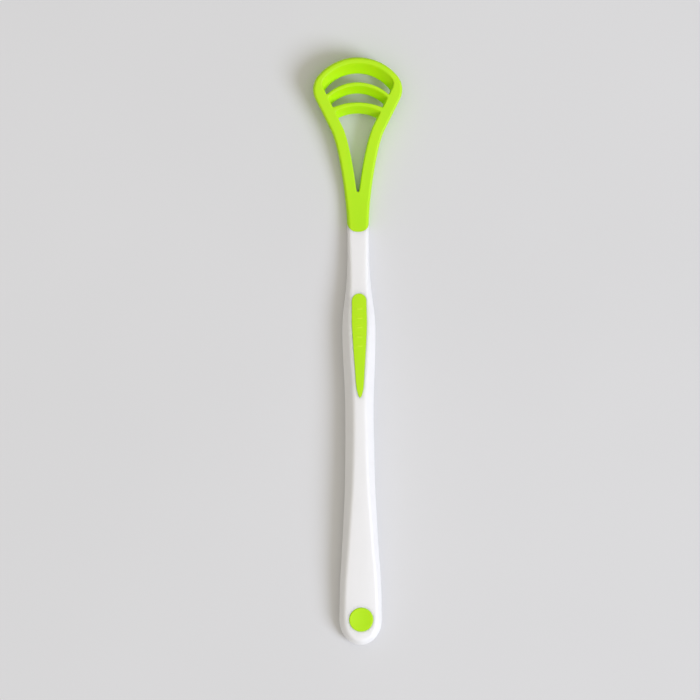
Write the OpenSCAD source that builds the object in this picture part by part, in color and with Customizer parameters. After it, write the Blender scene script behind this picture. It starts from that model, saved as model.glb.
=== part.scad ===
// Tongue scraper. A white handle runs along Y, tail toward -Y, with its back on z = 0
// and the origin at the middle of the length. A green head is moulded over a tang at
// the end of its neck, and two green inlays, a thumb pad and a tail disc, fill pockets
// in its top face. The handle and the head are slices of one body, so they meet flush.
// Every outline is a list of right-hand points [half width, distance from the tail],
// and distances past the bend run along the tilted head.

/* [Overall] */
// Length from the tail end to the tip of the head
overall_l = 190; // [180:1:205]
// Length of the head, from the middle of its seam with the handle to its tip
head_l = 56.3; // [54:0.1:60]

/* [Handle widths] */
// Width of the rounded tail
tail_w = 13.8; // [13:0.1:15]
// Width of the waist below the thumb rest
waist_w = 9.2; // [8.8:0.1:10.2]
// Width at the thumb rest
thumb_w = 10.8; // [10.3:0.1:11.8]
// Width of the neck
neck_w = 7.1; // [6.6:0.1:7.8]
// Length of the elliptical rounding of the tail end
tail_round_l = 8.3; // [7:0.1:9.5]

/* [Handle thickness and facets] */
// Thickness at the tail end
tail_h = 5; // [4.6:0.1:5.8]
// Thickness at the fullest part of the grip
grip_h = 7.6; // [7:0.1:8.4]
// Thickness at the thinnest part of the neck
neck_h = 3.5; // [3.3:0.1:4]
// How far the side facets lean in round the tail
tail_facet = 1.5; // [1.2:0.1:1.8]
// How far the side facets lean in along the grip
grip_facet = 2.5; // [2.1:0.1:2.8]
// How far the side facets lean in at the neck
neck_facet = 0.7; // [0.5:0.05:0.9]
// How far the side facets lean in round the head
head_facet = 0.45; // [0.35:0.05:0.7]
// Length by which each facet edge is softened
edge_soft = 0.7; // [0.4:0.1:0.9]
// Radius of the slight crown across the top face
crown_r = 60; // [40:1:120]

/* [Head] */
// Width of the head across its corners
head_w = 28.8; // [27.5:0.1:30]
// Thickness of the head
head_h = 4; // [3.7:0.1:4.6]
// Angle by which the head lifts off the table
head_tilt = 6.4; // [3:0.1:9]
// Radius along the back of the bend that lifts the head
bend_r = 110; // [80:1:140]
// Radius of the outer edge of the rim
rim_r = 16.8; // [16.2:0.1:18]
// Radius of the two outer corners
corner_r = 7; // [5.5:0.1:8]
// How far past the middle of the seam the neck starts to widen
flare_ahead = 2; // [1:0.1:3]
// Lean of the straight flanks away from the long axis, in degrees
flank_angle = 26.6; // [24:0.1:29]
// Length of each straight flank
flank_l = 11.2; // [9:0.1:13]
// Width of the two arms
arm_w = 3.85; // [3.5:0.05:4.1]
// Radius of the inner corners beside the rim
inner_corner_r = 3.4; // [2.6:0.1:3.8]

/* [Blades] */
// Width of the flat top of the rim blade
rim_top_w = 1.75; // [1.4:0.05:2.1]
// Width of the slope behind the rim blade
rim_slope_w = 3.55; // [3.2:0.05:3.8]
// Width of the ridge along each inner blade
ridge_w = 1.1; // [0.8:0.05:1.4]
// Width of the slope behind each inner blade
blade_slope_w = 2.6; // [2.2:0.05:2.8]
// Clear width of each slot at the middle
slot_w = 2.75; // [2.5:0.05:3]
// Height of the upright foot under each slope
blade_foot = 0.6; // [0.4:0.05:1]
// Radius of the slope foot of the rim blade
rim_foot_r = 13.1; // [12:0.1:13.8]
// Radius of the scraping edge of the middle blade
mid_edge_r = 14.6; // [14:0.1:16]
// Radius of the slope foot of the middle blade
mid_foot_r = 12; // [11.2:0.1:12.6]
// Radius of the scraping edge of the lower blade
low_edge_r = 20.5; // [19:0.1:24]
// Radius of the slope foot of the lower blade
low_foot_r = 13.5; // [12.5:0.1:15]
// Length of the tapered opening below the blades
vee_l = 25.4; // [23:0.1:26.5]

/* [Inlays] */
// Length of the thumb pad
pad_l = 33.7; // [30:0.1:36]
// Width of the thumb pad at its round end
pad_w = 4.7; // [4.2:0.1:5]
// How far the round end of the pad lies past the thumb rest
pad_ahead = 11.8; // [9.5:0.1:12.5]
// Depth of the pocket under the pad
pad_depth = 1.4; // [1:0.1:1.8]
// How far the pad stands out of the handle
pad_proud = 0.15; // [0.1:0.01:0.3]
// Diameter of the tail disc
disc_d = 7.8; // [7:0.1:8.2]
// Distance of the disc's centre from the tail end
disc_y = 8.5; // [7.8:0.1:9.2]
// Depth of the pocket under the disc
disc_depth = 1.3; // [1:0.1:1.8]
// How far the rim of the disc stands out of the handle
disc_proud = 0.12; // [0.05:0.01:0.25]
// Depth of the shallow dish in the top of the disc
dish_depth = 0.25; // [0.1:0.05:0.4]
// Radius of the rounded rims of the inlays
inlay_edge_r = 0.3; // [0.2:0.05:0.4]
// Diameter of the anchor posts under the inlays
anchor_d = 1.6; // [1.2:0.1:2]
// Length of the anchor posts under the inlays
anchor_l = 1.2; // [0.8:0.1:1.6]

/* [Tang] */
// Length of the tang inside the head
tang_l = 10.5; // [8:0.1:11.5]
// Width of the tang
tang_w = 3.6; // [3:0.1:4]
// Thickness of the tang
tang_h = 1.7; // [1.4:0.1:1.9]
// Diameter of the hole through the tang that the head keys into
key_d = 1.8; // [1.4:0.1:2.2]
// Depth of the rounded end of the head where it meets the handle
seam_sag = 4; // [3:0.1:5]
// Clearance between mouldings on the faces where they don't touch
seam_gap = 0.04; // [0.02:0.01:0.08]
// How far the seam's outline would reach past the sides of the neck
seam_clear = 0.1; // [0.05:0.05:0.3]

/* [Hidden] */

$fn = 64;
white = [0.96, 0.96, 0.97];
green = [0.68, 0.9, 0.14];

// Overrun of every cut past the surface that it opens
overrun = 1;
// Half the narrow flat at which an outline closes on the long axis
tip_flat = 0.15;
// Distance between stations along the handle
station_step = 3.2;

// Counts of steps round the curves
tail_steps = 9;
flare_steps = 12;
flank_steps = 3;
corner_steps = 8;
rim_steps = 12;
soft_steps = 3;
pad_steps = 14;
pad_round_steps = 7;
edge_steps = 2;
seam_steps = 12;
// Facets round the large ball whose cap is the dish
dish_fn = 240;

// Places along the handle, as shares of its length
tail_y_share = 0.078;
waist_y_share = 0.567;
thumb_y_share = 0.763;
neck_y_share = 0.95;
grip_y_share = 0.43;
facet_y_share = 0.54;
// Lean of the facets at the thumb rest, as a share of the way from the neck's to the grip's
thumb_facet_share = 0.72;

// How the width changes between two named widths: share of the way, share of the change
grip_taper_shares = [[0.15, 0.1], [0.30, 0.38], [0.45, 0.62], [0.60, 0.83], [0.78, 0.95]];
swell_shares = [[0.33, 0.25], [0.68, 0.78]];
narrowing_shares = [[0.2, 0.15], [0.4, 0.46], [0.62, 0.79]];
// The same for the thickness
tail_rise_shares = [[0.19, 0.20], [0.47, 0.62], [0.8, 0.96]];
grip_fall_shares = [[0.14, 0.01], [0.33, 0.08], [0.53, 0.30], [0.65, 0.49], [0.88, 0.90]];
// Upright part of the side, as a share of the thickness
grip_land_share = 0.08;
head_land_share = 0.56;
// Lengths of the two handles of the flare's curve, as shares of its span
flare_shares = [0.26, 0.19];
// Steepest slope of the rim, in degrees. Past it a wider head goes on in straight shoulders
shoulder_angle = 52;
// Most of a facet that its softened edges may take, as a share
soft_share = 0.42;
// Half widths of the crown rings, as shares of the top face
crown_shares = [0.7, 0.35];
// Outline of the pad below its round end: share of the way to the tip, share of half the width
pad_side_shares = [[0.12, 1.02], [0.24, 1.03], [0.4, 0.93], [0.56, 0.8], [0.72, 0.65],
                   [0.85, 0.54], [0.93, 0.4], [0.975, 0.24]];
// Places of the two anchors under the pad, as shares of its length from the round end
pad_anchor_shares = [0.15, 0.55];
// Power of the seam's superellipse: 2 is an ellipse, and more is squarer
seam_power = 2.4;
// Place of the key along the tang
key_share = 0.6;
// How far the anchor posts reach up into the inlays, as a share of the inlays' depth
root_share = 0.5;

handle_l = overall_l - head_l;
tail_y = tail_y_share * handle_l;
waist_y = waist_y_share * handle_l;
thumb_y = thumb_y_share * handle_l;
neck_y = neck_y_share * handle_l;
grip_y = grip_y_share * handle_l;

// The bend: it starts where the tang ends, and past bend_end the head is flat
bend_start = handle_l + tang_l;
bend_end = bend_start + bend_r * head_tilt * PI / 180;
bend_end_y = bend_start + bend_r * sin(head_tilt);
bend_end_z = bend_r * (1 - cos(head_tilt));
// Distance of the tip from the tail along the head, so that the tip lands on overall_l
tip_s = bend_end + (overall_l - bend_end_y + head_h / 2 * sin(head_tilt)) / cos(head_tilt);

function mix(a, b, share) = a + (b - a) * share;
function between(shares, y0, y1, v0, v1) =
    [for (p = shares) [mix(y0, y1, p[0]), mix(v0, v1, p[1])]];

// Smooth curve through a table of [place, value], flat at both ends
function slope_at(t, i) =
    i == 0 || i == len(t) - 1 ? 0 : (t[i + 1][1] - t[i - 1][1]) / (t[i + 1][0] - t[i - 1][0]);
function ease(a, b, ma, mb, u) =
    a + u * (ma + u * (3 * (b - a) - 2 * ma - mb + u * (2 * (a - b) + ma + mb)));
function smooth_at(t, y, i = 0) =
    y <= t[0][0] ? t[0][1] :
    i >= len(t) - 1 ? t[len(t) - 1][1] :
    y > t[i + 1][0] ? smooth_at(t, y, i + 1) :
    let (gap = t[i + 1][0] - t[i][0])
    ease(t[i][1], t[i + 1][1], slope_at(t, i) * gap, slope_at(t, i + 1) * gap, (y - t[i][0]) / gap);

widths = concat(
    [[tail_y, tail_w]],
    between(grip_taper_shares, tail_y, waist_y, tail_w, waist_w),
    [[waist_y, waist_w]],
    between(swell_shares, waist_y, thumb_y, waist_w, thumb_w),
    [[thumb_y, thumb_w]],
    between(narrowing_shares, thumb_y, neck_y, thumb_w, neck_w),
    [[neck_y, neck_w]]);
heights = concat(
    [[0, tail_h]],
    between(tail_rise_shares, 0, grip_y, tail_h, grip_h),
    [[grip_y, grip_h]],
    between(grip_fall_shares, grip_y, bend_start, grip_h, neck_h),
    [[bend_start, neck_h], [bend_end, head_h]]);
facets = [[tail_y, tail_facet], [facet_y_share * handle_l, grip_facet],
          [thumb_y, mix(neck_facet, grip_facet, thumb_facet_share)], [neck_y, neck_facet],
          [bend_end, head_facet]];
lands = [[neck_y, grip_land_share], [bend_end, head_land_share]];

function thickness(s) = smooth_at(heights, s);

// Maps a point of the straight part, at x, distance s and height v, onto the bent one
function bent(x, s, v) =
    s <= bend_start ? [x, s, v] :
    s >= bend_end ? [x, bend_end_y + (s - bend_end) * cos(head_tilt) - v * sin(head_tilt),
                     bend_end_z + (s - bend_end) * sin(head_tilt) + v * cos(head_tilt)] :
    let (a = (s - bend_start) / bend_r * 180 / PI)
    [x, bend_start + (bend_r - v) * sin(a), bend_r - (bend_r - v) * cos(a)];

module on_head() {
    translate([0, bend_end_y, bend_end_z]) rotate([head_tilt, 0, 0]) translate([0, -bend_end, 0]) children();
}

// A softened corner at b, between a and c, as the end points and middles of a parabola
function toward(a, b, reach) =
    let (l = norm(b - a)) a + (b - a) * min(reach / l, soft_share);
function softened(a, b, c) =
    let (p = toward(b, a, edge_soft), q = toward(b, c, edge_soft))
    [for (k = [0 : soft_steps]) let (u = k / soft_steps) (1 - u) * (1 - u) * p + 2 * u * (1 - u) * b + u * u * q];

// Half section at distance s as [inset from the outline, height], from the back to the top
function half_section(s) =
    let (h = thickness(s), f = smooth_at(facets, s), land = smooth_at(lands, s) * h / 2,
         back = [f, 0], low = [0, h / 2 - land], high = [0, h / 2 + land], top = [f, h],
         inward = [2 * f, 0])
    concat(softened(back + inward, back, low), softened(back, low, high),
           softened(low, high, top), softened(high, top, top + inward));

// Inward normal of an outline at point i. An outline that starts or ends on the long axis is square to it there.
function unit(v) = v / norm(v);
function normal_at(side, i) =
    let (n = len(side), last = n - 1)
    (i == 0 && side[0].x <= tip_flat) ? [0, 1] :
    (i == last && side[last].x <= tip_flat) ? [0, -1] :
    let (t = unit(side[min(i + 1, last)] - side[max(i - 1, 0)])) [-t.y, t.x];

// One ring of points: the right-hand side from tail to tip, then the left-hand side back again
function ring(right) = concat(right, [for (i = [len(right) - 1 : -1 : 0]) [-right[i].x, right[i].y, right[i].z]]);

// Triangles between two rows of point numbers, the second of which may be the longer
function quads(a, b) = [for (k = [0 : len(a) - 2]) each [[a[k], b[k], b[k + 1]], [a[k], b[k + 1], a[k + 1]]]];
function fan(a, b) =
    let (m = floor(len(b) / 2))
    concat([for (k = [0 : len(b) - 2]) [a[k < m ? 0 : 1], b[k], b[k + 1]]], [[a[0], b[m], a[1]]]);
function flipped(faces) = [for (f = faces) [f[0], f[2], f[1]]];
function strip(a, b) = len(a) == len(b) ? quads(a, b) : len(a) < len(b) ? fan(a, b) : flipped(fan(b, a));

// Closes a stack of rings, from the lowest to the highest, into one solid. Its front may
// have a crown: a row of points, from right to left, for each station but the end ones.
module ring_stack(rings, crown = []) {
    n = len(rings[0]);
    half = n / 2;
    top = (len(rings) - 1) * n;
    across = len(crown) == 0 ? 0 : len(crown[0]);
    walls = [for (j = [0 : len(rings) - 2], k = [0 : n - 1])
        let (a = j * n + k, b = j * n + (k + 1) % n)
        each [[a, a + n, b + n], [a, b + n, b]]];
    back = [for (i = [0 : half - 2]) each quads([i, n - 1 - i], [i + 1, n - 2 - i])];
    rows = [for (i = [0 : half - 1])
        concat([top + i],
               i == 0 || i == half - 1 ? [] : [for (k = [0 : 1 : across - 1]) top + n + (i - 1) * across + k],
               [top + n - 1 - i])];
    front = [for (i = [0 : half - 2]) each flipped(strip(rows[i], rows[i + 1]))];
    polyhedron(points = concat([for (r = rings) each r], [for (r = crown) each r]),
               faces = concat(walls, back, front));
}

// The body between the two ends of the given outline, with the crown of these shares
module body_slice(side, crown) {
    sections = [for (p = side) half_section(p.y)];
    normals = [for (i = [0 : len(side) - 1]) normal_at(side, i)];
    levels = len(sections[0]);
    shell = [for (j = [0 : levels - 1])
        [for (i = [0 : len(side) - 1]) side[i] + sections[i][j][0] * normals[i]]];
    rings = [for (j = [0 : levels - 1])
        ring([for (i = [0 : len(side) - 1])
            let (p = shell[j][i], share = sections[i][j][1] / thickness(side[i].y))
            bent(p.x, p.y, share * thickness(p.y))])];
    edge = shell[levels - 1];
    ring_stack(rings, len(crown) == 0 ? [] :
        [for (i = [1 : len(side) - 2])
            [for (share = concat(crown, [for (k = [len(crown) - 1 : -1 : 0]) -crown[k]]))
                let (p = edge[i])
                bent(p.x * share, p.y, thickness(p.y) + crown_lift(p.x, p.x * share))]]);
}
// Height of the crown at x, over an edge of the top face at half
function crown_lift(half, x) = (half * half - x * x) / (2 * crown_r);

// Outline of the tail end: a quarter of an ellipse
tail_side = [for (k = [0 : tail_steps])
    let (a = 90 * k / tail_steps)
    [max(tip_flat, smooth_at(widths, 0) / 2 * sin(a)), tail_round_l * (1 - cos(a))]];
function station_run(s0, s1) =
    let (n = ceil((s1 - s0) / station_step))
    [for (k = [1 : n]) let (s = mix(s0, s1, k / n)) [smooth_at(widths, s) / 2, s]];
flare_y = handle_l + flare_ahead;

// Outline of the head: neck, flare, straight flank, corner and rim
rim_c = [0, tip_s - rim_r];
rim_angle = asin(min((head_w / 2 - corner_r) / (rim_r - corner_r), sin(shoulder_angle)));
rim_out = (rim_r - corner_r) * [sin(rim_angle), cos(rim_angle)];
shoulder_l = (head_w / 2 - corner_r - rim_out.x) / cos(rim_angle);
corner_c = rim_c + rim_out + shoulder_l * [cos(rim_angle), -sin(rim_angle)];
flank_dir = [sin(flank_angle), cos(flank_angle)];
flank_in = [-cos(flank_angle), sin(flank_angle)];
flank_end = corner_c - corner_r * flank_in;
flank_start = flank_end - flank_l * flank_dir;
neck_end = [neck_w / 2, flare_y];
function flare(u) =
    let (span = norm(flank_start - neck_end),
         b = neck_end + [0, flare_shares[0] * span],
         c = flank_start - flare_shares[1] * span * flank_dir)
    pow(1 - u, 3) * neck_end + 3 * u * pow(1 - u, 2) * b + 3 * u * u * (1 - u) * c + pow(u, 3) * flank_start;
function arc(centre, r, a0, a1, steps) =
    [for (k = [0 : steps]) let (a = mix(a0, a1, k / steps)) centre + r * [cos(a), sin(a)]];
function angle_of(v) = atan2(v.y, v.x);
rim_end_angle = acos(tip_flat / rim_r);
flare_side = [for (k = [0 : flare_steps]) flare(k / flare_steps)];
flank_side = [for (k = [1 : flank_steps - 1]) mix(flank_start, flank_end, k / flank_steps)];
corner_side = arc(corner_c, corner_r, -flank_angle, 90 - rim_angle, corner_steps);
rim_arc = arc(rim_c, rim_r, 90 - rim_angle, rim_end_angle, rim_steps);
rim_side = [for (k = [shoulder_l > tip_flat ? 0 : 1 : rim_steps]) rim_arc[k]];
head_side = concat(
    [[neck_w / 2, handle_l - overrun]], flare_side, flank_side, corner_side, rim_side);
// The handle's outline goes on along the flare, to past the seam
handle_side = concat(
    tail_side, station_run(tail_round_l, flare_y),
    [for (k = [1 : flare_steps])
        if (flare_side[k - 1].y < handle_l + seam_sag + overrun) flare_side[k]]);

// Window inside the arms, from the end of the tapered opening to past the rim
ridge_r = rim_r - rim_top_w;
inner_r = ridge_r + seam_gap;
inner_from = flank_end + (arm_w + inner_corner_r) * flank_in - rim_c;
inner_along = inner_from * flank_dir;
inner_c = rim_c + inner_from + flank_dir * (-inner_along
    + sqrt(pow(inner_along, 2) - inner_from * inner_from + pow(inner_r - inner_corner_r, 2)));

rim_foot_s = tip_s - rim_top_w - rim_slope_w;
mid_edge_s = rim_foot_s - slot_w;
mid_foot_s = mid_edge_s - ridge_w - blade_slope_w;
low_edge_s = mid_foot_s - slot_w;
low_foot_s = low_edge_s - ridge_w - blade_slope_w;
vee_end_s = low_foot_s - vee_l;

arm_inner = [for (i = [0 : len(head_side) - 1])
    if (head_side[i].y < flank_end.y) head_side[i] + arm_w * normal_at(head_side, i)];
// Radius of the round end of the tapered opening, which is half its width there
vee_r = lookup(vee_end_s, [for (p = arm_inner) [p.y, p.x]]);
vee_side = [for (p = arm_inner) if (p.y > vee_end_s + vee_r + tip_flat && p.x > vee_r) p];
window_side = concat(
    arc([0, vee_end_s + vee_r], vee_r, -90, 0, corner_steps),
    vee_side,
    arc(inner_c, inner_corner_r, -flank_angle, angle_of(inner_c - rim_c), corner_steps),
    [[inner_c.x + inner_corner_r * cos(angle_of(inner_c - rim_c)), tip_s + overrun]]);

module window() {
    translate([0, 0, -overrun])
    linear_extrude(head_h + 2 * overrun)
    polygon(concat(window_side, [for (i = [len(window_side) - 1 : -1 : 1]) [-window_side[i].x, window_side[i].y]]));
}
// A round pit with an upright foot and a sloped wall: what lies behind a blade
module slope_pit(foot_s, foot_r, slope_w) {
    lean = slope_w / (head_h - blade_foot);
    translate([0, foot_s - foot_r, 0])
    rotate_extrude()
    polygon([[0, -overrun], [foot_r, -overrun], [foot_r, blade_foot],
             [foot_r + slope_w + lean * overrun, head_h + overrun], [0, head_h + overrun]]);
}
// An upright wall of a blade, as everything behind it
module edge_drum(edge_s, edge_r) {
    translate([0, edge_s - edge_r, -2 * overrun])
    cylinder(r = edge_r, h = head_h + 4 * overrun);
}
// The two slots and the tapered opening
module openings() {
    intersection() {
        window();
        union() {
            difference() {
                union() {
                    slope_pit(rim_foot_s, ridge_r - rim_slope_w, rim_slope_w);
                    translate([0, 0, overrun])
                    edge_drum(rim_foot_s, rim_foot_r);
                }
                edge_drum(mid_edge_s, mid_edge_r);
            }
            difference() {
                slope_pit(mid_foot_s, mid_foot_r, blade_slope_w);
                edge_drum(low_edge_s, low_edge_r);
            }
            slope_pit(low_foot_s, low_foot_r, blade_slope_w);
            translate([-head_w / 2, vee_end_s - overrun, -overrun])
            cube([head_w, low_foot_s - low_foot_r - vee_end_s + overrun, head_h + 2 * overrun]);
        }
    }
}

// All that lies past the seam, as an upright slab whose near end is half a superellipse. Past
// that end it is far wider than the neck
seam_side = [for (k = [0 : seam_steps])
    let (a = 90 * k / seam_steps)
    [(neck_w / 2 + seam_clear) * pow(sin(a), 2 / seam_power),
     handle_l + seam_sag * (1 - pow(cos(a), 2 / seam_power))]];
module seam_slab() {
    right = concat(seam_side, [[neck_w, handle_l + seam_sag], [neck_w, handle_l + seam_sag + 2 * overrun]]);
    translate([0, 0, -overrun])
    linear_extrude(grip_h + 2 * overrun)
    polygon(concat(right, [for (i = [len(right) - 1 : -1 : 1]) [-right[i].x, right[i].y]]));
}

// The tang, grown by a clearance on every free side
tang_z = (thickness(handle_l) + thickness(bend_start)) / 4;
module tang(grow) {
    translate([0, 0, tang_z - tang_h / 2 - grow])
    linear_extrude(tang_h + 2 * grow) {
        translate([-tang_w / 2 - grow, handle_l - overrun])
        square([tang_w + 2 * grow, tang_l - tang_w / 2 + overrun]);
        translate([0, handle_l + tang_l - tang_w / 2])
        circle(r = tang_w / 2 + grow);
    }
}
module key(d, h) {
    translate([0, handle_l + key_share * tang_l, tang_z - h / 2])
    cylinder(d = d, h = h);
}

// Outline of the thumb pad, from its pointed tip to its round end
pad_end_y = thumb_y + pad_ahead;
pad_tip_y = pad_end_y - pad_l;
pad_round_y = pad_end_y - pad_w / 2;
pad_side_table = concat([for (i = [len(pad_side_shares) - 1 : -1 : 0])
    [mix(pad_round_y, pad_tip_y, pad_side_shares[i][0]), pad_side_shares[i][1] * pad_w / 2]],
    [[pad_round_y, pad_w / 2]]);
pad_tip_in = pad_side_table[0];
pad_side = concat(
    [[tip_flat, pad_tip_y]],
    [for (k = [0 : pad_steps - 1])
        let (s = mix(pad_tip_in.x, pad_round_y, k / pad_steps)) [smooth_at(pad_side_table, s), s]],
    arc([0, pad_round_y], pad_w / 2, 0, acos(2 * tip_flat / pad_w), pad_round_steps));
function grown(side, gap) = [for (i = [0 : len(side) - 1]) side[i] - gap * normal_at(side, i)];
// The seat of the pad is one plane under the top face
function pad_seat(y) =
    mix(thickness(pad_tip_y), thickness(pad_end_y), (y - pad_tip_y) / pad_l) - pad_depth;
function level(side, z_of) = ring([for (p = side) [p.x, p.y, z_of(p.y)]]);
// Top of the handle on the long axis, over the pad
function ridge_z(y) =
    let (half = smooth_at(widths, y) / 2 - smooth_at(facets, y) - edge_soft)
    thickness(y) + half * half / (2 * crown_r);
module pad_pocket() {
    side = grown(pad_side, seam_gap);
    ring_stack([level(side, function(y) pad_seat(y)), level(side, function(y) ridge_z(y) + overrun)]);
}
module pad_anchors(d, l) {
    for (share = pad_anchor_shares)
        let (y = pad_end_y - share * pad_l)
        translate([0, y, pad_seat(y) - l])
        cylinder(d = d, h = l + root_share * pad_depth);
}

// The disc's seat is parallel to the top face under it
disc_lean = atan2(thickness(disc_y + disc_d / 2) - thickness(disc_y - disc_d / 2), disc_d);
module on_disc() {
    translate([0, disc_y, ridge_z(disc_y)]) rotate([disc_lean, 0, 0]) children();
}
module disc_pocket() {
    on_disc() {
        translate([0, 0, -disc_depth])
        cylinder(d = disc_d + 2 * seam_gap, h = disc_depth + overrun);
        translate([0, 0, -disc_depth - anchor_l - seam_gap])
        cylinder(d = anchor_d + 2 * seam_gap, h = anchor_l + seam_gap + overrun);
    }
}

// The frame's origin is at the middle of the length, on the table
module in_frame() {
    translate([0, -overall_l / 2, 0]) children();
}

// The first shot: the white handle with its tang
module handle() {
    color(white)
    in_frame()
    difference() {
        union() {
            difference() {
                body_slice(handle_side, crown_shares);
                seam_slab();
            }
            tang(0);
        }
        key(key_d, tang_h + 2 * overrun);
        pad_pocket();
        pad_anchors(anchor_d + 2 * seam_gap, anchor_l + seam_gap);
        disc_pocket();
    }
}

// The second shot: the green head over the tang, with the key through it
module head() {
    color(green)
    in_frame()
    difference() {
        body_slice(head_side, []);
        difference() {
            translate([-neck_w, handle_l - 2 * overrun, -overrun])
            cube([2 * neck_w, seam_sag + 2 * overrun, grip_h + overrun]);
            seam_slab();
        }
        difference() {
            tang(seam_gap);
            key(key_d - 2 * seam_gap, tang_h + 2 * overrun);
        }
        on_head() openings();
    }
}

// The green inlay under the thumb, with a rounded rim
module thumb_pad() {
    rim = [for (k = [0 : edge_steps])
        let (a = 90 * k / edge_steps, inset = inlay_edge_r * (1 - cos(a)), drop = inlay_edge_r * (1 - sin(a)))
        level(grown(pad_side, -inset), function(y) ridge_z(y) + pad_proud - drop)];
    color(green)
    in_frame()
    union() {
        ring_stack(concat([level(pad_side, function(y) pad_seat(y))], rim));
        pad_anchors(anchor_d, anchor_l);
    }
}

// The green inlay in the tail, slightly dished
module tail_disc() {
    flat_r = disc_d / 2 - inlay_edge_r;
    dish_r = (pow(flat_r, 2) + pow(dish_depth, 2)) / (2 * dish_depth);
    rim = arc([flat_r, disc_proud - inlay_edge_r], inlay_edge_r, 0, 90, 2 * edge_steps);
    color(green)
    in_frame()
    on_disc()
    difference() {
        union() {
            rotate_extrude()
            polygon(concat([[0, -disc_depth], [disc_d / 2, -disc_depth]], rim, [[0, disc_proud]]));
            translate([0, 0, -disc_depth - anchor_l])
            cylinder(d = anchor_d, h = anchor_l + root_share * disc_depth);
        }
        translate([0, 0, disc_proud - dish_depth + dish_r])
        sphere(r = dish_r, $fn = dish_fn);
    }
}

handle();
head();
thumb_pad();
tail_disc();
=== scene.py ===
import math

import bpy
import numpy as np
from mathutils import Matrix, Vector


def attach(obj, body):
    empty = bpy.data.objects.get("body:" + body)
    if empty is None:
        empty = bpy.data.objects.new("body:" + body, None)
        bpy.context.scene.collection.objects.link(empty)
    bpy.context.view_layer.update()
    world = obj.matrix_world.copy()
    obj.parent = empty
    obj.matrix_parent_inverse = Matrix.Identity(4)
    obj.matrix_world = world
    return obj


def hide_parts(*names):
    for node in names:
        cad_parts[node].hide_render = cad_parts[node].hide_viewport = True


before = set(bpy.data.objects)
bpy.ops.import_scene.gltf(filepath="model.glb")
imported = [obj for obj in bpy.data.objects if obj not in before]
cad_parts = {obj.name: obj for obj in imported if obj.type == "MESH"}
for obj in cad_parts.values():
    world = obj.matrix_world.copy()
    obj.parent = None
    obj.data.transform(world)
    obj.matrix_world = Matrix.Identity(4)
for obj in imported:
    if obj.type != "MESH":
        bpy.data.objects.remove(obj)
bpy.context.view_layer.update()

# The handle is the first shot: one white polypropylene moulding with a flat top and back and
# leaning side facets. It tapers from a broad tail to a waist, swells under the thumb and runs
# out into a thin neck. Two pockets in its top take the green inlays.
mm = 0.001
overall_l = 190.0
head_l = 56.3
handle_l = overall_l - head_l
tail_w = 13.8
waist_w = 9.2
thumb_w = 10.8
neck_w = 7.1
tail_round_l = 8.3
tail_h = 5.0
grip_h = 7.6
neck_h = 3.5
head_h = 4.0
tail_facet = 1.5
grip_facet = 2.5
neck_facet = 0.7
head_facet = 0.45
edge_soft = 0.7
head_edge_soft = 0.3
side_soft = 0.25
crown_r = 60.0
grip_land_share = 0.08
head_land_share = 0.56
tail_y = 0.078 * handle_l
waist_y = 0.567 * handle_l
thumb_y = 0.763 * handle_l
neck_y = 0.95 * handle_l
grip_y = 0.43 * handle_l
head_tilt = math.radians(6.4)
bend_r = 110.0
bend_start = handle_l + 10.5
bend_end = bend_start + bend_r * head_tilt
bend_end_y = bend_start + bend_r * math.sin(head_tilt)
tip_s = bend_end + (overall_l - bend_end_y + head_h / 2 * math.sin(head_tilt)) / math.cos(head_tilt)


def mix(a, b, share):
    return a + (b - a) * share


def between(shares, place, value):
    """A table of places and values from shares of the way between two named pairs."""
    return [(mix(*place, p), mix(*value, v)) for p, v in shares]


def run_through(table, s):
    """The smooth curve through a table of places and values, flat at both ends."""
    place, value = np.array(table, float).T
    slope = np.zeros(len(place))
    slope[1:-1] = (value[2:] - value[:-2]) / (place[2:] - place[:-2])
    s = np.clip(s, place[0], place[-1])
    i = np.clip(np.searchsorted(place, s, side="right") - 1, 0, len(place) - 2)
    gap = place[i + 1] - place[i]
    u = (s - place[i]) / gap
    a, b, ma, mb = value[i], value[i + 1], slope[i] * gap, slope[i + 1] * gap
    return a + u * (ma + u * (3 * (b - a) - 2 * ma - mb + u * (2 * (a - b) + ma + mb)))


taper_shares = [(0.15, 0.1), (0.30, 0.38), (0.45, 0.62), (0.60, 0.83), (0.78, 0.95)]
swell_shares = [(0.33, 0.25), (0.68, 0.78)]
narrowing_shares = [(0.2, 0.15), (0.4, 0.46), (0.62, 0.79)]
rise_shares = [(0.19, 0.20), (0.47, 0.62), (0.8, 0.96)]
fall_shares = [(0.14, 0.01), (0.33, 0.08), (0.53, 0.30), (0.65, 0.49), (0.88, 0.90)]
widths = [(tail_y, tail_w), *between(taper_shares, (tail_y, waist_y), (tail_w, waist_w)),
          (waist_y, waist_w), *between(swell_shares, (waist_y, thumb_y), (waist_w, thumb_w)),
          (thumb_y, thumb_w), *between(narrowing_shares, (thumb_y, neck_y), (thumb_w, neck_w)),
          (neck_y, neck_w)]
heights = [(0, tail_h), *between(rise_shares, (0, grip_y), (tail_h, grip_h)),
           (grip_y, grip_h), *between(fall_shares, (grip_y, bend_start), (grip_h, neck_h)),
           (bend_start, neck_h), (bend_end, head_h)]
facets = [(tail_y, tail_facet), (0.54 * handle_l, grip_facet),
          (thumb_y, mix(neck_facet, grip_facet, 0.72)), (neck_y, neck_facet), (bend_end, head_facet)]
lands = [(neck_y, grip_land_share), (bend_end, head_land_share)]
softs = [(neck_y, edge_soft), (bend_end, head_edge_soft)]


def arc(centre, r, start, end, steps):
    """Points on an arc, with angles in degrees from the x axis."""
    return [(centre[0] + r * math.cos(math.radians(a)), centre[1] + r * math.sin(math.radians(a)))
            for a in np.linspace(start, end, steps + 1)]


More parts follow.
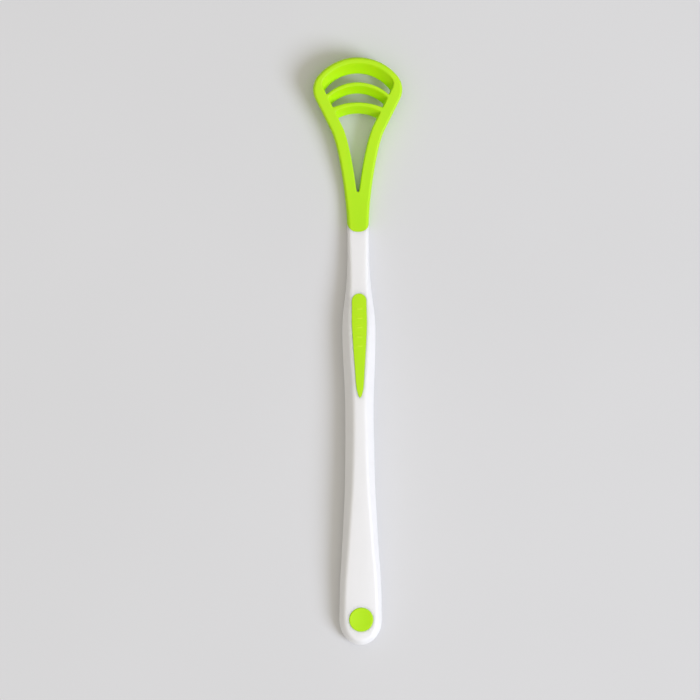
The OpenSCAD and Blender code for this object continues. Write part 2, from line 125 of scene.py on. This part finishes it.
# The outline's right-hand side, as points (half width, distance from the tail end): the tail's
# ellipse, the grip, the flare of the neck, a straight flank, a corner and the rim
head_w = 28.8
rim_r = 16.8
corner_r = 7.0
flank_angle = 26.6
flank_l = 11.2
flare_y = handle_l + 2.0
rim_c = np.array([0, tip_s - rim_r])
rim_angle = math.degrees(math.asin((head_w / 2 - corner_r) / (rim_r - corner_r)))
corner_c = np.array(arc(rim_c, rim_r - corner_r, 90 - rim_angle, 90, 1)[0])
flank_dir = np.array([math.sin(math.radians(flank_angle)), math.cos(math.radians(flank_angle))])
flank_in = np.array([-flank_dir[1], flank_dir[0]])
flank_end = corner_c - corner_r * flank_in
flank_start = flank_end - flank_l * flank_dir
neck_end = np.array([neck_w / 2, flare_y])
flare_span = np.linalg.norm(flank_start - neck_end)
flare_bend = [neck_end, neck_end + np.array([0, 0.26 * flare_span]),
              flank_start - 0.19 * flare_span * flank_dir, flank_start]


def flare(u):
    a, b, c, d = flare_bend
    return (1 - u) ** 3 * a + 3 * u * (1 - u) ** 2 * b + 3 * u * u * (1 - u) * c + u ** 3 * d


tail_side = [(run_through(widths, 0) / 2 * math.sin(a), tail_round_l * (1 - math.cos(a)))
             for a in np.linspace(0, math.pi / 2, 25)]
grip_side = [(run_through(widths, s) / 2, s) for s in np.linspace(tail_round_l, flare_y, 150)[1:]]
flare_side = [tuple(flare(u)) for u in np.linspace(0, 1, 33)[1:]]
corner_side = arc(corner_c, corner_r, -flank_angle, 90 - rim_angle, 24)
rim_side = arc(rim_c, rim_r, 90 - rim_angle, 90, 48)[1:]
outline = tail_side + grip_side + flare_side + corner_side + rim_side


def depth_in(side, x, s):
    """How far points lie inside an outline, given its right-hand side; negative outside."""
    x = np.abs(x)
    nearest = np.full(np.broadcast(x, s).shape, np.inf)
    turn = np.zeros(nearest.shape)
    for (ax, ay), (bx, by) in zip(side[:-1], side[1:]):
        dx, dy = bx - ax, by - ay
        t = np.clip(((x - ax) * dx + (s - ay) * dy) / (dx * dx + dy * dy), 0, 1)
        ex, ey = x - ax - t * dx, s - ay - t * dy
        far = ex * ex + ey * ey
        closer = far < nearest
        nearest = np.where(closer, far, nearest)
        turn = np.where(closer, dx * ey - dy * ex, turn)
    return np.where(turn < 0, -1.0, 1.0) * np.sqrt(nearest)


def common(a, b, soft):
    """The space inside both a and b, with the edge between them rounded over that length."""
    h = np.maximum(soft - np.abs(a - b), 0) / soft
    return np.maximum(a, b) + soft * h * h / 4


def joined(a, b, soft):
    """The space inside a or b, with the corner between them filled over that length."""
    return -common(-a, -b, soft)


def half_top(s):
    """Half the width of the flat top face."""
    rounding = np.sqrt(np.clip(1 - (1 - s / tail_round_l) ** 2, 0, 1))
    half = np.where(s < tail_round_l, rounding, 1) * run_through(widths, s) / 2
    return np.maximum(half - run_through(facets, s), 0)


def top_height(x, s):
    """Height of the top face, which has a slight crown that runs out before the neck."""
    crown = 1 - np.clip((s - thumb_y) / (neck_y - thumb_y), 0, 1)
    return run_through(heights, s) + crown * np.maximum(half_top(s) ** 2 - x * x, 0) / (2 * crown_r)


def body(x, s, v):
    """Negative inside the bar that the handle and the head are cut from, in flat coordinates:
    x across, s along the back from the tail end, and v off the back."""
    inset = depth_in(outline, x, s)
    h = run_through(heights, s)
    lean = run_through(facets, s)
    rise = h / 2 * (1 - run_through(lands, s))
    length = np.hypot(rise, lean)
    upper = ((v - h + rise) * lean - inset * rise) / length
    lower = ((rise - v) * lean - inset * rise) / length
    soft = run_through(softs, s)
    sides = common(common(upper, lower, side_soft), -inset, side_soft)
    return common(common(sides, v - top_height(x, s), soft), -v, soft)


def settled(points):
    """Bends flat coordinates up along the tilted head and puts them in the part's frame."""
    x, s, v = points.T
    a = np.clip(s - bend_start, 0, bend_end - bend_start) / bend_r
    past = np.maximum(s - bend_end, 0)
    y = np.minimum(s, bend_start) + (bend_r - v) * np.sin(a) + past * np.cos(a)
    z = v + (bend_r - v) * (1 - np.cos(a)) + past * np.sin(a)
    return np.column_stack([x, y - overall_l / 2, z]) * mm


def slope_of(field, points, step=0.01):
    """A field's value at some points, and its gradient there."""
    here = field(*points.T)
    rise = [field(*(points + step * axis).T) - here for axis in np.eye(3)]
    return here, np.column_stack(rise) / step


def skin(name, field, low, high, cell, rounds=3):
    """The closed skin of a moulding, where its field is zero: one point in each cell that the
    surface crosses, evened out and set exactly on the surface. Returns the piece and its
    points in flat coordinates."""
    axes = [np.arange(a, b + c, c) for a, b, c in zip(low, high, cell)]
    value = field(axes[0][:, None, None], axes[1][None, :, None], axes[2][None, None, :])
    cells = np.array(value.shape)
    total = np.zeros((value.size, 3))
    count = np.zeros(value.size)
    faces = []
    for axis in range(3):
        lower, upper = np.delete(value, -1, axis), np.delete(value, 0, axis)
        crossed = (lower < 0) != (upper < 0)
        edge = np.argwhere(crossed)
        point = edge.astype(float)
        point[:, axis] += lower[crossed] / (lower[crossed] - upper[crossed])
        u, w = (axis + 1) % 3, (axis + 2) % 3
        ring = []
        for du, dw in ((0, 0), (-1, 0), (-1, -1), (0, -1)):
            corner = edge.copy()
            corner[:, u] += du
            corner[:, w] += dw
            flat = np.ravel_multi_index(corner.T, cells)
            count += np.bincount(flat, minlength=value.size)
            for k in range(3):
                total[:, k] += np.bincount(flat, point[:, k], value.size)
            ring.append(flat)
        quad = np.column_stack(ring)
        inward = lower[crossed] >= 0
        quad[inward] = quad[inward][:, ::-1]
        faces.append(quad)
    used = np.flatnonzero(count)
    index = np.full(value.size, -1)
    index[used] = np.arange(len(used))
    faces = index[np.concatenate(faces)]
    points = np.array(low) + total[used] / count[used][:, None] * np.array(cell)
    ends = np.concatenate([faces[:, [k, (k + 1) % 4]] for k in range(4)])
    ways = np.bincount(ends[:, 0], minlength=len(points))[:, None]
    for turn in range(rounds):
        middle = np.column_stack([np.bincount(ends[:, 0], points[ends[:, 1], k], len(points))
                                  for k in range(3)]) / ways
        points = mix(points, middle, 0.5)
        for step in range(2):
            here, rise = slope_of(field, points)
            move = here[:, None] * rise / (rise ** 2).sum(1)[:, None]
            reach = np.maximum(np.linalg.norm(move, axis=1) / (min(cell) / 2), 1)
            points = points - move / reach[:, None]
    mesh = bpy.data.meshes.new(name)
    mesh.from_pydata(settled(points).tolist(), [], faces.tolist())
    mesh.polygons.foreach_set("use_smooth", [True] * len(mesh.polygons))
    mesh.update()
    piece = bpy.data.objects.new(name, mesh)
    bpy.context.scene.collection.objects.link(piece)
    return piece, points


# The two inlays' outlines, which their pockets follow
pad_l = 33.7
pad_w = 4.7
pad_depth = 1.4
pad_proud = 0.15
pad_end_y = thumb_y + 11.8
pad_tip_y = pad_end_y - pad_l
pad_round_y = pad_end_y - pad_w / 2
pad_shares = [(0.12, 1.02), (0.24, 1.03), (0.4, 0.93), (0.56, 0.8), (0.72, 0.65),
              (0.85, 0.54), (0.93, 0.4), (0.975, 0.24)]
pad_table = [(pad_tip_y, 0)] + [(mix(pad_round_y, pad_tip_y, p), v * pad_w / 2)
                                for p, v in reversed(pad_shares)] + [(pad_round_y, pad_w / 2)]
pad_side = ([(0, pad_tip_y)]
            + [(float(run_through(pad_table[1:], s)), s)
               for s in np.linspace(pad_table[1][0], pad_round_y, 60)]
            + arc((0, pad_round_y), pad_w / 2, 0, 90, 20)[1:])
disc_d = 7.8
disc_y = 8.5
disc_depth = 1.3
pocket_gap = 0.01
pocket_soft = 0.06


def pad_seat(s):
    ends = run_through(heights, np.array([pad_tip_y, pad_end_y]))
    return mix(ends[0], ends[1], (s - pad_tip_y) / pad_l) - pad_depth


# The seam with the head is half a superellipse, seen from above
seam_sag = 4.0
seam_half = neck_w / 2 + 0.1
seam_power = 2.4


def past_seam(x, s):
    """How far points lie past the seam, toward the head."""
    across = np.clip(np.abs(x) / seam_half, 0, 0.999)
    return s - handle_l - seam_sag * (1 - (1 - across ** seam_power) ** (1 / seam_power))


hidden_l = 1.5
hidden_in = 0.15
hidden_start = 0.4
hidden_soft = 0.3


def handle_field(x, s, v):
    """The handle, whose end runs on under the head, a little thinner."""
    pad_hole = np.maximum(-depth_in(pad_side, x, s) - pocket_gap, pad_seat(s) - v)
    disc_hole = np.maximum(np.hypot(x, s - disc_y) - disc_d / 2 - pocket_gap,
                           top_height(0, s) - disc_depth - v)
    under_head = np.clip(past_seam(x, s) / hidden_start, 0, 1)
    solid = common(body(x, s, v) + hidden_in * under_head, past_seam(x, s) - hidden_l, hidden_soft)
    return common(common(solid, -pad_hole, pocket_soft), -disc_hole, pocket_soft)


fine = 1.0
cell = 0.2 * fine
long_cell = 1.5 * cell
handle_low = (-7.3, -0.5, -0.4)
handle_high = (7.3, 142, 8.2)
handle, points = skin("white_handle", handle_field, handle_low, handle_high, (cell, long_cell, cell))


def mark_parting(piece, points):
    """Keeps two distances in mm on each point of a moulding: up from the level where the halves
    of its mould meet, and in from its outline."""
    x, s, v = points.T
    for name, value in (("above_parting", v - run_through(heights, s) / 2),
                        ("inset", depth_in(outline, x, s))):
        kept = piece.data.attributes.new(name, "FLOAT", "POINT")
        kept.data.foreach_set("value", value.astype(np.float32))


mark_parting(handle, points)


def group_of(name, inputs, outputs):
    """A new node group with number sockets, and its input and output nodes."""
    group = bpy.data.node_groups.new(name, "ShaderNodeTree")
    for socket in inputs:
        group.interface.new_socket(socket, in_out="INPUT", socket_type="NodeSocketFloat")
    for socket in outputs:
        group.interface.new_socket(socket, in_out="OUTPUT", socket_type="NodeSocketFloat")
    return group, group.nodes.new("NodeGroupInput"), group.nodes.new("NodeGroupOutput")


def maths(tree, operation, *values):
    """A Math node fed by numbers or by sockets; returns its output."""
    node = tree.nodes.new("ShaderNodeMath")
    node.operation = operation
    for socket, value in zip(node.inputs, values):
        if isinstance(value, bpy.types.NodeSocket):
            tree.links.new(value, socket)
        else:
            socket.default_value = value
    return node.outputs[0]


def noise(tree, per_metre, stretch=(1, 1, 1)):
    """Noise fixed to the piece, with that many cells in a metre; returns values about 0.5."""
    place = tree.nodes.new("ShaderNodeTexCoord")
    scaled = tree.nodes.new("ShaderNodeVectorMath")
    scaled.operation = "MULTIPLY"
    scaled.inputs[1].default_value = stretch
    texture = tree.nodes.new("ShaderNodeTexNoise")
    texture.inputs["Scale"].default_value = per_metre
    texture.inputs["Detail"].default_value = 2
    tree.links.new(place.outputs["Object"], scaled.inputs[0])
    tree.links.new(scaled.outputs[0], texture.inputs["Vector"])
    return texture.outputs["Fac"]


# The mould's skin: spark-eroded grain that gives the satin look, and long soft marks where the
# plastic flowed along the piece. Heights are in mm.
flow_marks_per_metre = 230
flow_stretch = (1, 0.12, 1)
grain_per_metre = 3600
skin_finish, given, wanted = group_of("moulded_finish", ("Roughness", "Spread", "Grain Height"),
                                      ("Tone", "Roughness", "Height"))
flow = noise(skin_finish, flow_marks_per_metre, flow_stretch)
grain = noise(skin_finish, grain_per_metre)
tone = skin_finish.nodes.new("ShaderNodeMapRange")
tone.inputs["From Min"].default_value = 0.3
tone.inputs["From Max"].default_value = 0.7
skin_finish.links.new(flow, tone.inputs["Value"])
skin_finish.links.new(tone.outputs["Result"], wanted.inputs["Tone"])
unevenness = maths(skin_finish, "SUBTRACT", maths(skin_finish, "ADD", flow, grain), 1.0)
rough = maths(skin_finish, "MULTIPLY_ADD", unevenness, given.outputs["Spread"],
              given.outputs["Roughness"])
skin_finish.links.new(rough, wanted.inputs["Roughness"])
raised = maths(skin_finish, "MULTIPLY", grain, given.outputs["Grain Height"])
skin_finish.links.new(raised, wanted.inputs["Height"])

# The parting line: a fine raised witness round the outer sides where the mould's halves meet,
# in mm
line_half = 0.07
line_inset = 0.9
line_rise = 0.03
parting, given, wanted = group_of("parting_line", (), ("Line",))
above = parting.nodes.new("ShaderNodeAttribute")
above.attribute_name = "above_parting"
inset = parting.nodes.new("ShaderNodeAttribute")
inset.attribute_name = "inset"
off_line = maths(parting, "ABSOLUTE", above.outputs["Fac"])
near = maths(parting, "SUBTRACT", 1.0, maths(parting, "DIVIDE", off_line, line_half))
outer = maths(parting, "LESS_THAN", inset.outputs["Fac"], line_inset)
line = maths(parting, "MULTIPLY", maths(parting, "MAXIMUM", near, 0.0), outer)
parting.links.new(line, wanted.inputs["Line"])


def place_group(tree, group, **values):
    node = tree.nodes.new("ShaderNodeGroup")
    node.node_tree = group
    for name, value in values.items():
        node.inputs[name.replace("_", " ")].default_value = value
    return node


def mixed(tree, factor, a, b):
    """A colour between two colours or sockets; returns its output. The Mix node has sockets of
    the same name for each kind of data, so the ones for colours go by their numbers."""
    colour_a, colour_b, colour_out = 6, 7, 2
    node = tree.nodes.new("ShaderNodeMix")
    node.data_type = "RGBA"
    tree.links.new(factor, node.inputs["Factor"])
    for socket, value in ((node.inputs[colour_a], a), (node.inputs[colour_b], b)):
        if isinstance(value, bpy.types.NodeSocket):
            tree.links.new(value, socket)
        else:
            socket.default_value = (*value, 1)
    return node.outputs[colour_out]


def moulded_plastic(name, light, deep, roughness, spread, grain_height, line_colour=None):
    """A moulded plastic between two tones, with the mould's grain and, where a colour for it
    is given, the parting line. Returns the material and its Principled shader."""
    material = bpy.data.materials.new(name)
    material.use_nodes = True
    tree = material.node_tree
    surface = tree.nodes["Principled BSDF"]
    finish = place_group(tree, skin_finish, Roughness=roughness, Spread=spread,
                         Grain_Height=grain_height)
    colour = mixed(tree, finish.outputs["Tone"], light, deep)
    height = finish.outputs["Height"]
    if line_colour:
        line = place_group(tree, parting).outputs["Line"]
        colour = mixed(tree, line, colour, line_colour)
        height = maths(tree, "MULTIPLY_ADD", line, line_rise, height)
    bump = tree.nodes.new("ShaderNodeBump")
    bump.inputs["Strength"].default_value = 1
    bump.inputs["Distance"].default_value = mm
    tree.links.new(height, bump.inputs["Height"])
    tree.links.new(colour, surface.inputs["Base Color"])
    tree.links.new(finish.outputs["Roughness"], surface.inputs["Roughness"])
    tree.links.new(bump.outputs["Normal"], surface.inputs["Normal"])
    return material, surface


white, surface = moulded_plastic("white_polypropylene", light=(0.95, 0.95, 0.955),
                                 deep=(0.935, 0.935, 0.937), roughness=0.4, spread=0.12,
                                 grain_height=0.006, line_colour=(0.86, 0.86, 0.86))
surface.inputs["Subsurface Weight"].default_value = 1
surface.inputs["Subsurface Radius"].default_value = (1, 1, 1)
surface.inputs["Subsurface Scale"].default_value = 1.5 * mm
handle.data.materials.append(white)
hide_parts("handle")
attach(handle, "root")

# The head is the second shot: a firm green polymer moulded over the handle's end. Two arms
# fan out from the neck to a curved rim, and between them stand three arched blades. Each has
# an upright front edge and a slope behind it that runs down to the next slot.
arm_w = 3.85
inner_corner_r = 3.4
rim_top_w = 1.75
rim_slope_w = 3.55
rim_foot_r = 13.1
ridge_w = 1.1
blade_slope_w = 2.6
slot_w = 2.75
blade_foot = 0.6
mid_edge_r = 14.6
mid_foot_r = 12.0
low_edge_r = 20.5
low_foot_r = 13.5
vee_l = 25.4
ridge_soft = 0.25
corner_soft = 0.5
foot_soft = 0.3
drum_soft = 0.2
seam_soft = 0.25
ridge_r = rim_r - rim_top_w
rim_foot_s = tip_s - rim_top_w - rim_slope_w
mid_edge_s = rim_foot_s - slot_w
mid_foot_s = mid_edge_s - ridge_w - blade_slope_w
low_edge_s = mid_foot_s - slot_w
low_foot_s = low_edge_s - ridge_w - blade_slope_w
vee_end_s = low_foot_s - vee_l

# Right-hand side of the window inside the arms: the round end, the arm's inner line and corner
inner_from = flank_end + (arm_w + inner_corner_r) * flank_in - rim_c
inner_along = inner_from @ flank_dir
inner_reach = inner_along ** 2 - inner_from @ inner_from + (ridge_r - inner_corner_r) ** 2
inner_c = rim_c + inner_from + flank_dir * (-inner_along + math.sqrt(inner_reach))
inner_turn = math.degrees(math.atan2(*(inner_c - rim_c)[::-1]))


def inward(side):
    """Unit normals of an outline, toward the long axis."""
    along = np.gradient(np.array(side), axis=0)
    along /= np.linalg.norm(along, axis=1)[:, None]
    return np.column_stack([-along[:, 1], along[:, 0]])


arm_line = np.array([p for p in grip_side + flare_side if p[1] > handle_l])
arm_line = arm_line + arm_w * inward(arm_line)
vee_r = float(np.interp(vee_end_s, arm_line[:, 1], arm_line[:, 0]))
arm_line = [tuple(p) for p in arm_line if p[1] > vee_end_s + vee_r and p[0] > vee_r]
window_side = (arc((0, vee_end_s + vee_r), vee_r, -90, 0, 8) + arm_line
               + arc(inner_c, inner_corner_r, -flank_angle, inner_turn, 16)
               + [(inner_c[0] + inner_corner_r * math.cos(math.radians(inner_turn)), tip_s + 3)])


def pit(x, s, v, foot_s, foot_r, slope_w, top_r):
    """Behind a blade: inside the round wall of its foot, or inside the cone of its slope."""
    wall = np.hypot(x, s - foot_s + foot_r) - foot_r
    out = np.hypot(x, s - foot_s - slope_w + top_r) - top_r + slope_w
    lean = slope_w / (head_h - blade_foot)
    cone = (out - lean * (v - blade_foot)) / math.hypot(1, lean)
    return joined(wall, cone, foot_soft)


def drum(x, s, edge_s, edge_r):
    """Inside the upright round front of a blade."""
    return np.hypot(x, s - edge_s + edge_r) - edge_r


def head_field(x, s, v):
    rim_pit = pit(x, s, v, rim_foot_s, rim_foot_r, rim_slope_w, ridge_r)
    mid_pit = pit(x, s, v, mid_foot_s, mid_foot_r, blade_slope_w, mid_foot_r + blade_slope_w)
    low_pit = pit(x, s, v, low_foot_s, low_foot_r, blade_slope_w, low_foot_r + blade_slope_w)
    top_slot = common(rim_pit, -drum(x, s, mid_edge_s, mid_edge_r), drum_soft)
    low_slot = common(mid_pit, -drum(x, s, low_edge_s, low_edge_r), drum_soft)
    vee = np.minimum(low_pit, s - low_foot_s + low_foot_r)
    slots = np.minimum(np.minimum(top_slot, low_slot), vee)
    openings = common(slots, -depth_in(window_side, x, s), corner_soft)
    solid = common(body(x, s, v), -past_seam(x, s), seam_soft)
    return common(solid, -openings, ridge_soft)


head_low = (-14.8, handle_l - 1, -0.4)
head_high = (14.8, tip_s + 0.6, 4.5)
head, points = skin("green_head", head_field, head_low, head_high, (cell, cell, cell))
mark_parting(head, points)
green, surface = moulded_plastic("green_polymer", light=(0.54, 0.895, 0.001),
                                 deep=(0.495, 0.885, 0.001), roughness=0.5, spread=0.14,
                                 grain_height=0.007, line_colour=(0.42, 0.75, 0.002))
surface.inputs["Specular IOR Level"].default_value = 0.35
surface.inputs["Subsurface Weight"].default_value = 0.3
surface.inputs["Subsurface Radius"].default_value = (1, 1, 0.3)
surface.inputs["Subsurface Scale"].default_value = mm
head.data.materials.append(green)
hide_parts("head")
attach(head, "root")

# The thumb pad is a tapered green inlay of the second shot, round at its front end and
# pointed toward the tail. It fills its pocket and stands a little proud, with a soft rim and
# five low grip ribs across it. The ribs' crests carry a painted highlight: a paler green.
pad_soft = 0.1
pad_pillow_r = 60.0
rib_count = 5
rib_pitch = 3.0
rib_l = 1.7
rib_w = 0.5
rib_rise = 0.08
rib_soft = 0.08
first_rib_y = pad_end_y - 4.9


def past_rib(x, s):
    """How far points lie outside the nearest rib, seen from above."""
    turn = np.clip(np.round((first_rib_y - s) / rib_pitch), 0, rib_count - 1)
    across = np.maximum(np.abs(x) - (rib_l - rib_w) / 2, 0)
    return np.hypot(across, s - first_rib_y + turn * rib_pitch) - rib_w / 2


def pad_field(x, s, v):
    top = top_height(0, s) + pad_proud - x * x / (2 * pad_pillow_r)
    sides = np.maximum(-depth_in(pad_side, x, s), pad_seat(s) + pocket_gap - v)
    pad_body = common(sides, v - top, pad_soft)
    rib = common(past_rib(x, s), np.abs(v - top) - rib_rise, rib_soft)
    return joined(pad_body, rib, rib_soft)


rib_cell = 0.12 * fine
pad_low = (-3, pad_tip_y - 0.6, 3)
pad_high = (3, pad_end_y + 0.6, 8.6)
pad, points = skin("green_thumb_pad", pad_field, pad_low, pad_high, (rib_cell, rib_cell, rib_cell))
inlay_green, surface = moulded_plastic("green_inlay_polymer", light=(0.54, 0.895, 0.001),
                                       deep=(0.495, 0.885, 0.001), roughness=0.5, spread=0.16,
                                       grain_height=0.009)
surface.inputs["Specular IOR Level"].default_value = 0.35
surface.inputs["Subsurface Weight"].default_value = 0.3
surface.inputs["Subsurface Radius"].default_value = (1, 1, 0.3)
surface.inputs["Subsurface Scale"].default_value = mm
# The rib crests are marked on the pad's points and coloured a paler green there: a painted highlight
# for the light that the raised crests catch.
crest_highlight = pad.data.attributes.new("crest_highlight", "FLOAT", "POINT")
on_rib = np.clip(0.5 - past_rib(points[:, 0], points[:, 1]) / rib_w, 0, 1)
crest_highlight.data.foreach_set("value", on_rib.astype(np.float32))
painted_highlight_green = (0.63, 0.93, 0.02)
tree = inlay_green.node_tree
crest_highlight_node = tree.nodes.new("ShaderNodeAttribute")
crest_highlight_node.attribute_name = "crest_highlight"
plain = surface.inputs["Base Color"].links[0].from_socket
inlay_colour = mixed(tree, crest_highlight_node.outputs["Fac"], plain, painted_highlight_green)
tree.links.new(inlay_colour, surface.inputs["Base Color"])
pad.data.materials.append(inlay_green)
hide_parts("thumb_pad")
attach(pad, "root")

# The tail disc is a round green inlay of the second shot, with a soft rim and a shallow dish
# in its top. It lies in its pocket parallel to the handle's top face.
disc_proud = 0.12
dish_depth = 0.25
disc_edge_r = 0.3
disc_steps = 128
rim_steps = 8
dish_rings = 14
flat_r = disc_d / 2 - disc_edge_r
dish_r = (flat_r ** 2 + dish_depth ** 2) / (2 * dish_depth)
disc_ends = run_through(heights, np.array([disc_y - disc_d / 2, disc_y + disc_d / 2]))
disc_lean = math.atan2(disc_ends[1] - disc_ends[0], disc_d)
profile = [(disc_d / 2 - disc_edge_r, -disc_depth), (disc_d / 2, -disc_depth + disc_edge_r)]
profile += arc((flat_r, disc_proud - disc_edge_r), disc_edge_r, 0, 90, rim_steps)
profile += [(r, disc_proud - dish_depth + dish_r - math.sqrt(dish_r ** 2 - r * r))
            for r in np.linspace(flat_r, 0, dish_rings)[1:-1]]
points = [(r * math.cos(a), r * math.sin(a), z) for r, z in profile
          for a in np.linspace(0, 2 * math.pi, disc_steps, endpoint=False)]
points.append((0, 0, disc_proud - dish_depth))
faces = [(j * disc_steps + k, j * disc_steps + (k + 1) % disc_steps,
          (j + 1) * disc_steps + (k + 1) % disc_steps, (j + 1) * disc_steps + k)
         for j in range(len(profile) - 1) for k in range(disc_steps)]
last = (len(profile) - 1) * disc_steps
faces += [(last + k, last + (k + 1) % disc_steps, len(points) - 1) for k in range(disc_steps)]
faces.append(tuple(range(disc_steps - 1, -1, -1)))
mesh = bpy.data.meshes.new("green_tail_disc")
mesh.from_pydata(points, [], faces)
seat = Matrix.Translation((0, disc_y - overall_l / 2, float(top_height(0, np.array(disc_y)))))
mesh.transform(Matrix.Scale(mm, 4) @ seat @ Matrix.Rotation(disc_lean, 4, "X"))
mesh.polygons.foreach_set("use_smooth", [True] * len(mesh.polygons))
mesh.update()
disc = bpy.data.objects.new("green_tail_disc", mesh)
bpy.context.scene.collection.objects.link(disc)
disc.data.materials.append(inlay_green)
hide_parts("tail_disc")
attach(disc, "root")

# The table is a plain pale sheet with a matt, slightly cloudy face, wide enough that its edge
# never shows. The scraper lies loose on it.
table_half = 3.0
cloud_per_metre = 9
fibre_per_metre = 1400
fibre_rise = 0.01
mesh = bpy.data.meshes.new("table")
corners = [(x * table_half, y * table_half, 0) for x, y in ((-1, -1), (1, -1), (1, 1), (-1, 1))]
mesh.from_pydata(corners, [], [(0, 1, 2, 3)])
table = bpy.data.objects.new("table", mesh)
bpy.context.scene.collection.objects.link(table)
pale = bpy.data.materials.new("pale_table")
pale.use_nodes = True
tree = pale.node_tree
surface = tree.nodes["Principled BSDF"]
cloud = noise(tree, cloud_per_metre)
fibre = noise(tree, fibre_per_metre)
table_colour = mixed(tree, cloud, (0.722, 0.726, 0.732), (0.764, 0.768, 0.774))
bump = tree.nodes.new("ShaderNodeBump")
bump.inputs["Distance"].default_value = fibre_rise * mm
tree.links.new(fibre, bump.inputs["Height"])
tree.links.new(table_colour, surface.inputs["Base Color"])
tree.links.new(maths(tree, "MULTIPLY_ADD", fibre, 0.2, 0.75), surface.inputs["Roughness"])
tree.links.new(bump.outputs["Normal"], surface.inputs["Normal"])
surface.inputs["Specular IOR Level"].default_value = 0.2
table.data.materials.append(pale)

# One large soft lamp, such as a studio softbox, stands low to the right of the tail. The room
# fills its shadows, with a bright ceiling and dim walls.
lamp_turn = math.radians(-28)
lamp_rise = math.radians(38.5)
lamp_far = 4.0
lamp_across = 2.13
lamp_watts = 96.7
room_walls = 0.06
room_ceiling = 0.82
lamp_dir = Vector((math.cos(lamp_rise) * math.cos(lamp_turn),
                   math.cos(lamp_rise) * math.sin(lamp_turn), math.sin(lamp_rise)))
lamp = bpy.data.objects.new("soft_lamp", bpy.data.lights.new("soft_lamp", "AREA"))
lamp.data.shape = "DISK"
lamp.data.size = lamp_across
lamp.data.energy = lamp_watts
lamp.data.color = (0.93, 0.985, 1.155)
lamp.location = lamp_dir * lamp_far
lamp.rotation_euler = lamp_dir.to_track_quat("Z", "Y").to_euler()
bpy.context.scene.collection.objects.link(lamp)
world = bpy.data.worlds.new("room")
bpy.context.scene.world = world
world.use_nodes = True
nodes, links = world.node_tree.nodes, world.node_tree.links
direction = nodes.new("ShaderNodeTexCoord")
split = nodes.new("ShaderNodeSeparateXYZ")
span = nodes.new("ShaderNodeMapRange")
span.inputs["To Min"].default_value = room_walls
span.inputs["To Max"].default_value = room_ceiling
links.new(direction.outputs["Generated"], split.inputs[0])
links.new(split.outputs["Z"], span.inputs["Value"])
links.new(span.outputs["Result"], nodes["Background"].inputs["Strength"])
nodes["Background"].inputs["Color"].default_value = (1.055, 1, 0.9, 1)

# The camera hangs almost straight above, as for a catalogue shot. It leans a little to the
# left and has a slight roll.
camera_far = 0.9
view_w = 0.2266
camera_lean = math.radians(3)
camera_roll = math.radians(-0.38)
aim = Vector((-0.0029, 0.0006, 0.003))
camera = bpy.data.objects.new("camera", bpy.data.cameras.new("camera"))
camera.data.sensor_width = 36
camera.data.lens = camera.data.sensor_width * camera_far / view_w
turn = Matrix.Rotation(camera_roll, 4, "Z") @ Matrix.Rotation(-camera_lean, 4, "Y")
camera.matrix_world = Matrix.Translation(aim) @ turn @ Matrix.Translation((0, 0, camera_far))
bpy.context.scene.collection.objects.link(camera)
bpy.context.scene.camera = camera
bpy.context.scene.view_settings.view_transform = "Standard"
